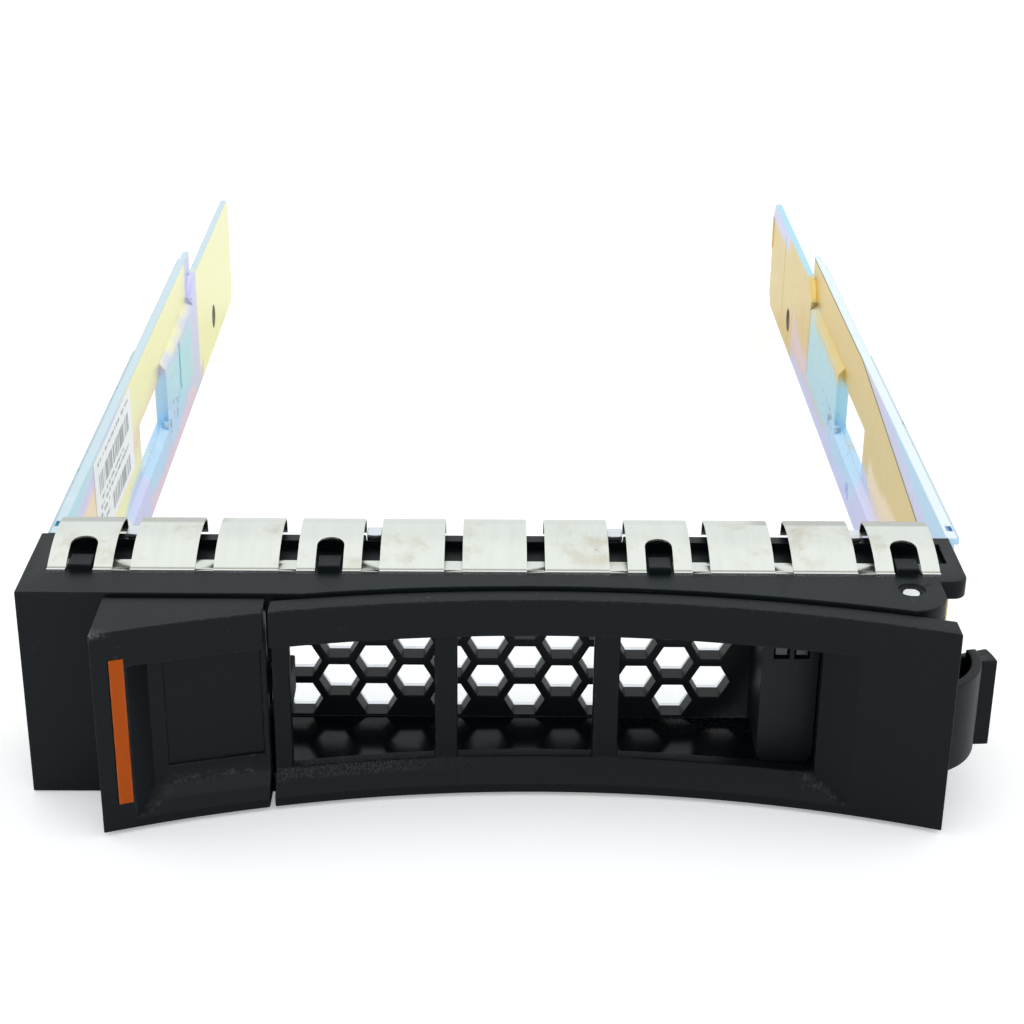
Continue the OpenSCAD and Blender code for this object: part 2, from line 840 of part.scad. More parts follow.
bezel_housing();
front_plate();
shield_strip();
lever();
hinge_pin();
lever_spring();
release_latch();
touch_stripe();
latch_spring();
indicator_block();
activity_light_pipe();
fault_light_pipe();
left_rail();
right_rail();
frame_screws();
rail_label();
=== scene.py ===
import math

import bmesh
import bpy
from mathutils import Matrix, Vector
from mathutils.kdtree import KDTree


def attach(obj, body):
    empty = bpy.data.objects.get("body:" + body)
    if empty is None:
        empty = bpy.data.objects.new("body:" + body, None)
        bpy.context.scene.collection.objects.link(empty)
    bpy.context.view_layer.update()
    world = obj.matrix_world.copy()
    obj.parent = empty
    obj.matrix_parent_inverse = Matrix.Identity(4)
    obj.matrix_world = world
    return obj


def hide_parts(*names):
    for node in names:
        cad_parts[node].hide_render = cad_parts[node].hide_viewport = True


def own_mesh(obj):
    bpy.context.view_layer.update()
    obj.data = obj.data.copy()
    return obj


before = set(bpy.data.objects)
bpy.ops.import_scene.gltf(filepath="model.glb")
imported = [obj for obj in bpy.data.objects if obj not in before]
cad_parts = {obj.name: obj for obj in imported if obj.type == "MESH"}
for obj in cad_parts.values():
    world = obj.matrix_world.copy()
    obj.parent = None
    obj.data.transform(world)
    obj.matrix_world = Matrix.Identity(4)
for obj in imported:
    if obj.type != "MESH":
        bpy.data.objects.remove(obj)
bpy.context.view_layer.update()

MM = 0.001
FRONT_Y = -7.7  # mm from the part's origin to the bezel's front face, along Y

# Camera: place in metres, then yaw to the right, pitch down and roll in degrees
CAMERA_PLACE = (-0.00165, -0.2096, 0.1273)
CAMERA_TURN = (0.65, 24.45, 0.61)
CAMERA_LENS = 72.3

# Places on the carrier in mm, with y counted from the bezel's front face
DRIVE_HOLES_Y = (43.4, 145.0)
DRIVE_HOLES_Z = 7.4
DRIVE_HOLE_R = 1.9
REAR_FADE = (124, 128)  # y over which the lower rear stretch's top edge takes its own film
REAR_TOP = (21.4, 21.7)  # z just below that edge
RAIL_BENDS_Y = (120.6, 153.0)  # painted shade: thin dark lines across the right rail at its bends
SLOPE_Z = 15.9  # height of a rail's sloping line at y = 0
SLOPE_RISE = 0.118  # how far it climbs for each mm back
LEVER_COIL = (45.1, 1.9, 17.2)  # the lowest turn's centre, on the hinge pin
LATCH_COIL = (-49.75, 5.2, 12.8)  # the first turn's centre, at the coil's seat

# How finely the pieces are made
COIL_STEPS = 40  # points along one turn of a spring
WIRE_SIDES = 14
BEVEL_SEGMENTS = 2
WELD = 2e-7  # metres within which two corners are one
SAME_PLACE = 1e-5  # metres within which two folds are the same
FLAT_ANGLE = 0.4  # degrees below which two faces are one

PALE_YELLOW = (1.0, 0.96, 0.50)
GOLD = (0.80, 0.59, 0.19)
PEACH = (0.98, 0.76, 0.48)
PINK = (0.86, 0.64, 0.72)
LAVENDER = (0.66, 0.66, 0.92)
BLUE = (0.50, 0.74, 0.95)
CYAN = (0.46, 0.78, 0.90)
TEAL = (0.64, 0.78, 0.84)
ICE = (0.86, 0.95, 0.99)
SHADOW = (0.03, 0.02, 0.015)


# ---- Camera, stage and light ----

def make_camera():
    yaw, pitch, roll = (math.radians(a) for a in CAMERA_TURN)
    ahead = Vector((math.sin(yaw) * math.cos(pitch), math.cos(yaw) * math.cos(pitch), -math.sin(pitch)))
    right = Vector((math.cos(yaw), -math.sin(yaw), 0))
    up = right.cross(ahead)
    across = right * math.cos(roll) + up * math.sin(roll)
    upward = -right * math.sin(roll) + up * math.cos(roll)
    data = bpy.data.cameras.new("camera")
    data.sensor_width = 36
    data.lens = CAMERA_LENS
    data.clip_start = 0.01
    data.clip_end = 20
    cam = bpy.data.objects.new("camera", data)
    bpy.context.scene.collection.objects.link(cam)
    turn = Matrix((across, upward, -ahead)).transposed()
    cam.matrix_world = Matrix.Translation(CAMERA_PLACE) @ turn.to_4x4()
    bpy.context.scene.camera = cam


def area_light(name, place, aim, size, watts):
    data = bpy.data.lights.new(name, "AREA")
    data.shape = "RECTANGLE"
    data.size, data.size_y = size
    data.energy = watts
    light = bpy.data.objects.new(name, data)
    bpy.context.scene.collection.objects.link(light)
    light.location = place
    light.rotation_mode = "QUATERNION"
    light.rotation_quaternion = (Vector(aim) - Vector(place)).to_track_quat("-Z", "Y")


def make_floor():
    """A pale matte floor that glows faintly to the camera, so that it comes out white."""
    glow_strength = 0.28
    data = bpy.data.meshes.new("floor")
    data.from_pydata([(-4, -3, 0), (4, -3, 0), (4, 6, 0), (-4, 6, 0)], [], [(0, 1, 2, 3)])
    floor = bpy.data.objects.new("floor", data)
    bpy.context.scene.collection.objects.link(floor)
    floor.location = (0, 0, -0.0001)
    mat = bpy.data.materials.new("floor")
    mat.use_nodes = True
    tree = mat.node_tree
    paint = tree.nodes["Principled BSDF"]
    paint.inputs["Base Color"].default_value = (0.9, 0.905, 0.91, 1)
    paint.inputs["Roughness"].default_value = 0.9
    glow = tree.nodes.new("ShaderNodeEmission")
    seen = tree.nodes.new("ShaderNodeLightPath")
    power = tree.nodes.new("ShaderNodeMath")
    power.operation = "MULTIPLY"
    power.inputs[1].default_value = glow_strength
    both = tree.nodes.new("ShaderNodeAddShader")
    tree.links.new(seen.outputs["Is Camera Ray"], power.inputs[0])
    tree.links.new(power.outputs[0], glow.inputs["Strength"])
    tree.links.new(paint.outputs[0], both.inputs[0])
    tree.links.new(glow.outputs[0], both.inputs[1])
    tree.links.new(both.outputs[0], tree.nodes["Material Output"].inputs["Surface"])
    data.materials.append(mat)


def make_studio():
    """A cool white surround with a soft box overhead and a strip light on each side."""
    bpy.context.scene.view_settings.view_transform = "Standard"
    world = bpy.data.worlds.new("studio")
    world.use_nodes = True
    sky = world.node_tree.nodes["Background"]
    sky.inputs["Color"].default_value = (0.95, 0.985, 1.0, 1)
    sky.inputs["Strength"].default_value = 1.03
    bpy.context.scene.world = world
    area_light("top_softbox", (0.05, 0.15, 0.9), (0, 0.03, 0), (1.3, 1.1), 0.55)
    area_light("left_strip", (-0.7, 0.1, 0.4), (0, 0.05, 0.01), (0.3, 0.8), 0.2)
    area_light("right_strip", (0.7, 0.05, 0.4), (0, 0.05, 0.01), (0.3, 0.8), 0.2)


# ---- Shader graph helper ----

class Graph:
    """Builds a Principled material out of small node expressions."""

    def __init__(self, name):
        self.mat = bpy.data.materials.new(name)
        self.mat.use_nodes = True
        self.tree = self.mat.node_tree
        self.shader = self.tree.nodes["Principled BSDF"]
        self.coord = self.tree.nodes.new("ShaderNodeTexCoord").outputs["Object"]
        parts = self.tree.nodes.new("ShaderNodeSeparateXYZ")
        self.tree.links.new(self.coord, parts.inputs[0])
        # Millimetres, with y counted from the bezel's front face
        self.x, y, self.z = (self.mul(part, 1 / MM) for part in parts.outputs)
        self.y = self.sub(y, FRONT_Y)

    def put(self, socket, value):
        if isinstance(value, bpy.types.NodeSocket):
            self.tree.links.new(value, socket)
        elif isinstance(value, (tuple, list)) and len(value) == 3 and socket.type == "RGBA":
            socket.default_value = (*value, 1)
        else:
            socket.default_value = value

    def math(self, op, a, b=0.0, clamp=False):
        node = self.tree.nodes.new("ShaderNodeMath")
        node.operation = op
        node.use_clamp = clamp
        self.put(node.inputs[0], a)
        self.put(node.inputs[1], b)
        return node.outputs[0]

    def add(self, a, b):
        return self.math("ADD", a, b)

    def sub(self, a, b):
        return self.math("SUBTRACT", a, b)

    def mul(self, a, b):
        return self.math("MULTIPLY", a, b)

    def step(self, value, low, high):
        """0 below low and 1 above high, smooth between; low may be above high to turn it round."""
        node = self.tree.nodes.new("ShaderNodeMapRange")
        node.interpolation_type = "SMOOTHSTEP"
        ends = (low, high, 0.0, 1.0) if low < high else (high, low, 1.0, 0.0)
        for key, end in zip(("From Min", "From Max", "To Min", "To Max"), ends):
            node.inputs[key].default_value = end
        self.put(node.inputs["Value"], value)
        return node.outputs[0]

    def band(self, value, low, high, soft):
        """1 between low and high, with ends that fade over soft on each side."""
        return self.mul(self.step(value, low - soft, low + soft), self.step(value, high + soft, high - soft))

    def patch(self, y, z, soft, source=None):
        """1 inside a box given by its y and z ranges in mm."""
        at = source or (self.y, self.z)
        return self.mul(self.band(at[0], *y, soft), self.band(at[1], *z, soft))

    def scaled(self, factors, turn=(0, 0, 0)):
        node = self.tree.nodes.new("ShaderNodeMapping")
        self.put(node.inputs["Vector"], self.coord)
        node.inputs["Scale"].default_value = factors
        node.inputs["Rotation"].default_value = turn
        return node.outputs[0]

    def noise(self, scale, detail=3.0, rough=0.5, vector=None, offset=0.0):
        node = self.tree.nodes.new("ShaderNodeTexNoise")
        node.noise_dimensions = "4D"
        self.put(node.inputs["Vector"], vector or self.coord)
        node.inputs["W"].default_value = offset
        node.inputs["Scale"].default_value = scale
        node.inputs["Detail"].default_value = detail
        node.inputs["Roughness"].default_value = rough
        return node.outputs["Fac"]

    def cells(self, scale):
        node = self.tree.nodes.new("ShaderNodeTexVoronoi")
        self.put(node.inputs["Vector"], self.coord)
        node.inputs["Scale"].default_value = scale
        return node.outputs["Distance"]

    def mix(self, a, b, amount):
        node = self.tree.nodes.new("ShaderNodeMix")
        node.data_type = "RGBA"
        self.put(node.inputs["Factor"], amount)
        self.put(node.inputs[6], a)
        self.put(node.inputs[7], b)
        return node.outputs[2]

    def edge(self, reach):
        """1 along edges and 0 on open faces, by how far a rounded normal leans. The reach is in mm."""
        soft = self.tree.nodes.new("ShaderNodeBevel")
        soft.samples = 4
        soft.inputs["Radius"].default_value = reach * MM
        flat = self.tree.nodes.new("ShaderNodeNewGeometry")
        lean = self.tree.nodes.new("ShaderNodeVectorMath")
        lean.operation = "DOT_PRODUCT"
        self.tree.links.new(soft.outputs[0], lean.inputs[0])
        self.tree.links.new(flat.outputs["True Normal"], lean.inputs[1])
        return self.step(lean.outputs["Value"], 0.995, 0.93)

    def bump(self, height, strength, distance, under=None):
        node = self.tree.nodes.new("ShaderNodeBump")
        node.inputs["Strength"].default_value = strength
        node.inputs["Distance"].default_value = distance
        self.put(node.inputs["Height"], height)
        if under:
            self.put(node.inputs["Normal"], under)
        return node.outputs[0]

    def scratches(self, scale, stretch, turn, keep, offset=0.0):
        """Thin lines: the middle level of a stretched noise, kept only in some areas."""
        line = self.noise(scale, 1.0, 0.4, self.scaled(stretch, turn), offset)
        thin = self.step(self.math("ABSOLUTE", self.sub(line, 0.5)), 0.012, 0.0)
        return self.mul(thin, self.step(self.noise(90, 2.0, 0.6, offset=offset + 3.1), keep, keep + 0.08))

    def finish(self, colour, roughness, normal=None, metallic=0.0, ior=1.5, specular=0.5):
        self.put(self.shader.inputs["Base Color"], colour)
        self.put(self.shader.inputs["Roughness"], roughness)
        self.put(self.shader.inputs["Metallic"], metallic)
        self.shader.inputs["IOR"].default_value = ior
        self.shader.inputs["Specular IOR Level"].default_value = specular
        if normal:
            self.put(self.shader.inputs["Normal"], normal)
        return self.mat


# ---- Materials ----

def black_plastic(name, base, rough, worn, offset, scuffs=None, polish=None):
    """Satin black moulding with a fine grain, a faint colour drift, rubbed edges and light scratches."""
    g = Graph(name)
    drift = g.noise(24, 2.0, 0.5, offset=offset)
    cool = tuple(c * k for c, k in zip(base, (0.90, 1.04, 1.06)))
    warm = tuple(c * k for c, k in zip(base, (1.08, 1.0, 1.02)))
    colour = g.mix(cool, warm, g.step(drift, 0.38, 0.62))
    grain = g.noise(5200, 3.0, 0.6, offset=offset)
    colour = g.mix(colour, tuple(c * 2.2 for c in base), g.mul(g.step(grain, 0.45, 0.8), 0.35))
    fine = g.scratches(160, (1, 1, 9), (0, 0.25, 0), 0.60, offset)
    cross = g.scratches(190, (9, 1, 1), (0, 0.5, 0.2), 0.62, offset + 7)
    marks = g.math("MAXIMUM", fine, cross)
    colour = g.mix(colour, (0.035, 0.036, 0.038), g.mul(marks, 0.35))
    rubbed = g.mul(g.edge(0.22), g.step(g.noise(1500, 4.0, 0.7, offset=offset + 1), 0.46, 0.66))
    colour = g.mix(colour, (0.050, 0.053, 0.058), g.mul(rubbed, worn))
    dusty = g.step(g.noise(700, 1.0, 0.5, offset=offset + 2), 0.68, 0.72)
    specks = g.mul(g.step(g.cells(420), 0.07, 0.03), dusty)
    colour = g.mix(colour, (0.16, 0.16, 0.16), g.mul(specks, 0.8))
    if scuffs:
        colour = scuffs(g, colour)
    roughness = g.add(rough, g.add(g.mul(g.sub(grain, 0.5), 0.16), g.mul(g.sub(drift, 0.5), 0.06)))
    roughness = g.add(roughness, g.mul(marks, 0.1))
    height = grain
    if polish:
        shine = polish(g)
        roughness = g.sub(roughness, g.mul(shine, rough - 0.14))
        height = g.mul(grain, g.sub(1.0, shine))
    normal = g.bump(height, 0.30, 0.00003)
    normal = g.bump(marks, 0.12, 0.00002, normal)
    return g.finish(colour, roughness, normal, specular=0.18)


def cavity_floor(g):
    """The floor inside the bezel is moulded smooth and mirrors the mesh wall."""
    return g.mul(g.mul(g.band(g.x, -30, 37, 0.5), g.band(g.y, -1.5, 13.9, 0.5)), g.step(g.z, 3.0, 2.7))


def latch_scuffs_and_bevel_sheen(g, colour):
    """Pale chips at the upper left corner, a lighter lower bevel that is a painted sheen, and nicks along
    the top edge.
    """
    chips = g.step(g.noise(2600, 5.0, 0.75, offset=4), 0.46, 0.62)
    near = g.mul(g.step(g.x, -41.6, -44.0), g.step(g.y, -7.0, -11.0))
    corner = g.mul(near, g.step(g.z, 24.2, 25.0))
    colour = g.mix(colour, (0.24, 0.25, 0.27), g.mul(g.add(g.mul(chips, 0.75), 0.1), corner))
    # Painted sheen: the lower bevel is lightened as if it caught the light
    bevel_sheen = g.mul(g.band(g.z, 2.75, 3.98, 0.12), g.step(g.x, -40.6, -38.5))
    colour = g.mix(colour, (0.0135, 0.0165, 0.0195), g.mul(bevel_sheen, 0.6))
    rim = g.mul(g.band(g.z, 24.7, 25.3, 0.15), g.step(g.noise(2300, 4.0, 0.8, offset=9), 0.66, 0.72))
    return g.mix(colour, (0.16, 0.16, 0.17), g.mul(rim, 0.6))


def lever_scuffs(g, colour):
    """Fine crazed scratches on the left of the lower bevel, and nicks on the top edge."""
    crease = g.math("ABSOLUTE", g.sub(g.noise(2600, 2.0, 0.6, g.scaled((1, 1, 0.7), (0, 0.5, 0)), 5), 0.5))
    fade = g.add(g.mul(g.step(g.x, -6.0, -16.0), 0.75), g.mul(g.step(g.x, 8.0, -8.0), 0.25))
    where = g.mul(g.band(g.z, 2.95, 4.05, 0.2), fade)
    colour = g.mix(colour, (0.055, 0.058, 0.064), g.mul(g.mul(g.step(crease, 0.045, 0.0), where), 0.75))
    nicks = g.mul(g.step(g.noise(1600, 3.0, 0.8, offset=12), 0.64, 0.70), g.step(g.z, 24.7, 25.0))
    return g.mix(colour, (0.15, 0.15, 0.155), g.mul(nicks, 0.6))


def orange_insert():
    """Terracotta-orange moulding with rubbed, paler edges."""
    g = Graph("touch_orange")
    tone = g.noise(900, 4.0, 0.6)
    colour = g.mix((0.375, 0.060, 0.002), (0.43, 0.074, 0.004), tone)
    rubbed = g.mul(g.edge(0.25), g.step(g.noise(500, 3.0, 0.7, offset=2), 0.42, 0.6))
    colour = g.mix(colour, (0.50, 0.19, 0.08), g.mul(rubbed, 0.6))
    grain = g.noise(5600, 2.0, 0.5)
    return g.finish(colour, g.add(0.46, g.mul(tone, 0.1)), g.bump(grain, 0.2, 0.00002), specular=0.12)


def zinc_film(g, colour, offset):
    """The plating's fine spangle, cloudy drift and handling scratches over a film colour."""
    cloud = g.noise(130, 4.0, 0.62, offset=offset)
    colour = g.mix(colour, (0.97, 0.98, 1.0), g.mul(g.step(cloud, 0.54, 0.80), 0.28))
    streak = g.noise(700, 3.0, 0.6, g.scaled((1, 0.12, 1)), offset)
    colour = g.mix(colour, (0.50, 0.52, 0.55), g.mul(g.step(streak, 0.6, 0.8), 0.22))
    scratch = g.scratches(120, (1, 5, 1), (0.5, 0, 0), 0.54, offset)
    colour = g.mix(colour, (0.34, 0.30, 0.24), g.mul(scratch, 0.3))
    roughness = g.add(0.30, g.add(g.mul(g.sub(cloud, 0.5), 0.22), g.mul(scratch, 0.15)))
    normal = g.bump(g.add(g.mul(streak, 0.6), g.mul(cloud, 0.4)), 0.12, 0.00004)
    return colour, roughness, normal


def warped(g, amount, offset):
    """y and z in mm, pushed about by a soft noise so that film colours don't end on straight lines."""
    along = g.mul(g.sub(g.noise(55, 3.0, 0.55, offset=offset), 0.5), amount)
    upward = g.mul(g.sub(g.noise(70, 3.0, 0.55, offset=offset + 5), 0.5), amount)
    return g.add(g.y, along), g.add(g.z, upward)


def films(g, colour, at, patches):
    """Film colours laid over one another, each with its y range, z range and softness in mm."""
    for film, y, z, soft in patches:
        colour = g.mix(colour, film, g.patch(y, z, soft, at))
    return colour


def slope_line(g):
    """Height above the sloping line on a rail's upper face: it meets the top edge part of the way back."""
    return g.sub(g.z, g.add(SLOPE_Z, g.mul(g.y, SLOPE_RISE)))


def outlined(g, colour, film, side):
    """The top flange in its film colour, with a thin dark line along its outer edge, darker in patches."""
    colour = g.mix(colour, film, g.step(g.z, 24.9, 25.15))
    out = g.mul(g.x, side)
    rim = g.mul(g.band(out, 53.05, 53.4, 0.06), g.step(g.z, 24.95, 25.1))
    rim_patches = g.mul(g.step(g.noise(420, 4.0, 0.7, offset=14), 0.52, 0.66), g.step(out, 52.3, 53.0))
    return g.mix(colour, (0.16, 0.27, 0.33), g.mul(rim, g.add(0.35, g.mul(rim_patches, 0.4))))


def stains_and_hole_shade(g, colour):
    """Small dark stains at the pocket's front lower corner, and a dark ring of painted shade round the drive
    screws' holes, where the countersinks fall into shade.
    """
    spot = g.step(g.noise(620, 3.0, 0.7, offset=31), 0.55, 0.60)
    where = g.patch((91, 103), (6.5, 10.5), 1.5)
    colour = g.mix(colour, (0.05, 0.17, 0.24), g.mul(g.mul(spot, where), 0.8))
    for y in DRIVE_HOLES_Y:
        along = g.math("POWER", g.sub(g.y, y), 2)
        upward = g.math("POWER", g.sub(g.z, DRIVE_HOLES_Z), 2)
        away = g.math("SQRT", g.add(along, upward))
        # Painted shade: a dark ring for the shaded countersink round each hole
        countersink_shade = g.step(away, DRIVE_HOLE_R + 0.35, DRIVE_HOLE_R + 0.05)
        colour = g.mix(colour, (0.10, 0.10, 0.11), g.mul(countersink_shade, 0.85))
    return colour


def rail_left():
    """Pale yellow plating with blue and lavender towards the pocket and the lower edge."""
    g = Graph("rail_zinc_left")
    at = warped(g, 7.0, 1)
    colour = films(g, PALE_YELLOW, at, (
        (PEACH, (60, 90), (13.5, 17.5), 2.2),
        (LAVENDER, (90, 123), (4, 18), 1.4),
        (CYAN, (91, 117), (6, 16.4), 1.8),
        (BLUE, (56, 100), (-5, 10), 1.6),
        (PINK, (30, 130), (-5, 4.4), 1.1),
        (LAVENDER, (44, 72), (-5, 9), 2.2)))
    colour = g.mix(colour, LAVENDER, g.band(g.y, 120, 126, 1.2))
    colour = films(g, colour, at, (
        (PINK, (0, 44), (20, 23), 1.6),
        (PEACH, (0, 37.5), (9, 21), 2.0)))
    # Lavender and then cyan above the sloping line
    above = slope_line(g)
    front = g.step(g.y, 84, 66)
    colour = g.mix(colour, LAVENDER, g.mul(g.band(above, 2.0, 4.2, 0.9), front))
    colour = g.mix(colour, CYAN, g.mul(g.step(above, 3.2, 5.0), front))
    colour = outlined(g, colour, TEAL, -1)
    colour = stains_and_hole_shade(g, colour)
    colour = g.mix(colour, TEAL, g.mul(g.step(g.y, *REAR_FADE), g.step(g.z, *REAR_TOP)))
    colour, roughness, normal = zinc_film(g, colour, 2)
    return g.finish(colour, roughness, normal, metallic=1.0)


def rail_right():
    """Gold plating, with cyan over the pocket and lavender low down and above the sloping line."""
    g = Graph("rail_zinc_right")
    at = warped(g, 7.0, 21)
    colour = films(g, GOLD, at, (
        (PINK, (118, 140), (4, 9), 2.5),
        (CYAN, (86, 121), (4.5, 17), 2.0),
        (BLUE, (60, 98), (-5, 9.5), 1.5),
        (LAVENDER, (30, 140), (-5, 4.2), 1.1),
        (PEACH, (10, 66), (4.5, 13.2), 0.9)))
    colour = g.mix(colour, PALE_YELLOW, g.mul(g.patch((16, 46), (5, 12), 2.4, at), 0.45))
    colour = g.mix(colour, LAVENDER, g.patch((52, 72), (2, 9), 2.2, at))
    colour = g.mix(colour, LAVENDER, g.mul(g.step(g.y, 146, 150), g.step(g.z, 17.5, 20)))
    # Lavender and then blue above the sloping line, with lines of painted shadow along it and along the top
    above = slope_line(g)
    front = g.step(g.y, 84, 76)
    colour = g.mix(colour, LAVENDER, g.mul(g.step(above, 0.0, 0.3), front))
    colour = g.mix(colour, BLUE, g.mul(g.step(above, 1.6, 3.6), front))
    dark = g.band(above, -0.28, 0.05, 0.06)
    colour = g.mix(colour, SHADOW, g.mul(dark, front))
    fold = g.mul(g.band(g.z, 24.72, 24.98, 0.06), g.step(g.y, 76, 80))
    colour = g.mix(colour, SHADOW, fold)
    colour = outlined(g, colour, ICE, 1)
    colour = stains_and_hole_shade(g, colour)
    colour = g.mix(colour, CYAN, g.mul(g.step(g.y, *REAR_FADE), g.step(g.z, *REAR_TOP)))
    stroke = g.step(g.noise(260, 2.0, 0.6, g.scaled((1, 1, 0.25), (0.4, 0, 0)), 6), 0.64, 0.7)
    where = g.mul(g.band(g.y, 50, 96, 6), g.band(g.z, 15, 20, 1.5))
    colour = g.mix(colour, (0.42, 0.29, 0.10), g.mul(g.mul(stroke, where), 0.7))
    # Painted shade in the bends across the rail
    for bend in RAIL_BENDS_Y:
        line = g.mul(g.band(g.y, bend, bend + 0.4, 0.15), g.band(g.z, 6.5, 20.6, 0.8))
        colour = g.mix(colour, (0.16, 0.11, 0.04), g.mul(line, 0.75))
    colour, roughness, normal = zinc_film(g, colour, 22)
    return g.finish(colour, roughness, normal, metallic=1.0)


def stainless():
    """Spring-finger strip: brushed along the fingers, with warm brown stains towards the crests; the fold's
    brightness and the dark backs and underside are painted light and shade.
    """
    g = Graph("shield_steel")
    brush = g.noise(900, 3.0, 0.6, g.scaled((1, 0.06, 0.3)), 1)
    colour = g.mix((0.68, 0.70, 0.64), (0.80, 0.82, 0.76), brush)
    blot = g.noise(170, 4.0, 0.65, offset=3)
    stain = g.mul(g.step(blot, 0.5, 0.68), g.band(g.y, 6.0, 14.0, 1.5))
    colour = g.mix(colour, (0.50, 0.40, 0.27), g.mul(stain, 0.42))
    pits = g.step(g.cells(700), 0.11, 0.05)
    colour = g.mix(colour, (0.13, 0.11, 0.09), g.mul(pits, g.mul(g.step(blot, 0.56, 0.6), 0.6)))
    # A painted highlight along the front fold, with a thin line of painted shade behind it
    colour = g.mix(colour, (0.97, 0.98, 0.97), g.step(g.y, 5.22, 5.1))
    colour = g.mix(colour, (0.24, 0.21, 0.17), g.mul(g.band(g.y, 5.34, 5.62, 0.12), 0.75))
    # Painted shade on the backs, darkest on the end fingers, and a painted shadow on the curls' underside
    ends = g.add(g.step(g.x, -31, -34), g.step(g.x, 27, 30))
    colour = g.mix(colour, (0.30, 0.29, 0.26), g.mul(g.step(g.y, 13.6, 14.6), g.add(0.12, g.mul(ends, 0.5))))
    under = g.step(g.z, 27.0, 26.6)
    colour = g.mix(colour, (0.05, 0.05, 0.05), g.mul(g.step(g.y, 15.6, 16.4), g.mul(under, 0.85)))
    roughness = g.add(0.26, g.add(g.mul(g.sub(brush, 0.5), 0.22), g.mul(stain, 0.14)))
    normal = g.bump(brush, 0.08, 0.00003)
    return g.finish(colour, roughness, normal, metallic=1.0)


def plain_metal(name, base, rough, offset):
    """Bare or plated metal with a cloudy tone and a few fine scratches."""
    g = Graph(name)
    cloud = g.noise(350, 4.0, 0.6, offset=offset)
    fine = g.noise(3200, 2.0, 0.5, offset=offset)
    colour = g.mix(tuple(c * 0.86 for c in base), base, g.step(cloud, 0.3, 0.7))
    scratch = g.scratches(260, (1, 6, 1), (0.3, 0.2, 0.4), 0.5, offset)
    colour = g.mix(colour, tuple(c * 0.5 for c in base), g.mul(scratch, 0.5))
    roughness = g.add(rough, g.add(g.mul(g.sub(cloud, 0.5), 0.16), g.mul(scratch, 0.12)))
    return g.finish(colour, roughness, g.bump(fine, 0.1, 0.00002), metallic=1.0)


def light_pipe():
    """An unlit light pipe's end: dark, glossy and a little hazy, drawn as an opaque plastic."""
    g = Graph("light_pipe_clear")
    haze = g.noise(1500, 3.0, 0.5)
    colour = g.mix((0.030, 0.032, 0.034), (0.055, 0.057, 0.060), haze)
    return g.finish(colour, g.add(0.16, g.mul(haze, 0.12)), g.bump(haze, 0.05, 0.00002), ior=1.58)


def sticker():
    """White label stock with grey bars and rows of dashes that follow a noise; it holds no lettering."""
    g = Graph("label_white")
    paper = g.noise(2600, 3.0, 0.6)
    colour = g.mix((0.93, 0.95, 0.96), (1.0, 1.0, 1.0), paper)
    ink = (0.10, 0.11, 0.13)
    bars = g.step(g.noise(2600, 1.0, 0.5, g.scaled((0.01, 1, 0.01))), 0.44, 0.48)
    for y, z in (((39.8, 62.5), (19.4, 22.0)), ((47.5, 62.0), (13.6, 16.0))):
        colour = g.mix(colour, ink, g.mul(g.mul(bars, g.patch(y, z, 0.12)), 0.75))
    rows = ((23.3, (39.5, 63)), (18.2, (40, 58)), (17.2, (40, 62)), (16.2, (39.5, 46)), (14.8, (39.5, 45.5)))
    for z, y in rows:
        dashes = g.step(g.noise(1500, 1.0, 0.5, g.scaled((1, 1, 0.3)), z), 0.46, 0.50)
        colour = g.mix(colour, ink, g.mul(g.mul(dashes, g.patch(y, (z, z + 0.5), 0.1)), 0.7))
    return g.finish(colour, g.add(0.38, g.mul(paper, 0.12)), g.bump(paper, 0.06, 0.00002))


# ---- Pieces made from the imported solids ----

def folds(work):
    """Middles of the edges where a face turns back on its neighbour."""
    work.normal_update()
    return [(e.verts[0].co + e.verts[1].co) / 2 for e in work.edges
            if len(e.link_faces) == 2 and e.link_faces[0].normal.dot(e.link_faces[1].normal) < -0.5]


def near_any(edge, tree, reach):
    """Whether any point of the tree lies within reach of the edge."""
    a, b = (v.co for v in edge.verts)
    steps = max(1, int((b - a).length / reach))
    return any(tree.find(a.lerp(b, s / steps))[2] < reach for s in range(steps + 1))


def rounded(mesh, width, sharp):
    """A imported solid's mesh with its outward edges rounded, except those that would fold the surface."""
    base = bmesh.new()
    base.from_mesh(mesh)
    bmesh.ops.remove_doubles(base, verts=base.verts, dist=WELD)
    bmesh.ops.dissolve_limit(base, angle_limit=math.radians(FLAT_ANGLE), verts=base.verts, edges=base.edges)
    bmesh.ops.triangulate(base, faces=[f for f in base.faces if len(f.verts) > 4])
    base.edges.index_update()
    base.edges.ensure_lookup_table()
    own = folds(base)
    keep = {e.index for e in base.edges
            if len(e.link_faces) == 2 and e.is_convex and e.calc_face_angle(0) > math.radians(sharp)}
    while width:
        work = base.copy()
        work.edges.ensure_lookup_table()
        bmesh.ops.bevel(work, geom=[work.edges[i] for i in sorted(keep)], offset=width, offset_type="OFFSET",
                        segments=BEVEL_SEGMENTS, profile=0.5, affect="EDGES", clamp_overlap=False,
                        miter_outer="ARC", spread=width * 0.3)
        flat = work.copy()
        bmesh.ops.triangulate(flat, faces=flat.faces)
        bad = [p for p in folds(flat) if all((p - q).length > SAME_PLACE for q in own)]
        flat.free()
        tree = KDTree(len(bad))
        for i, p in enumerate(bad):
            tree.insert(p, i)
        tree.balance()
        # Leave out the edges beside each new fold and round the rest again
        drop = {i for i in keep if bad and near_any(base.edges[i], tree, width * 2.2)}
        if not drop:
            base.free()
            return work
        keep -= drop
        work.free()
    return base


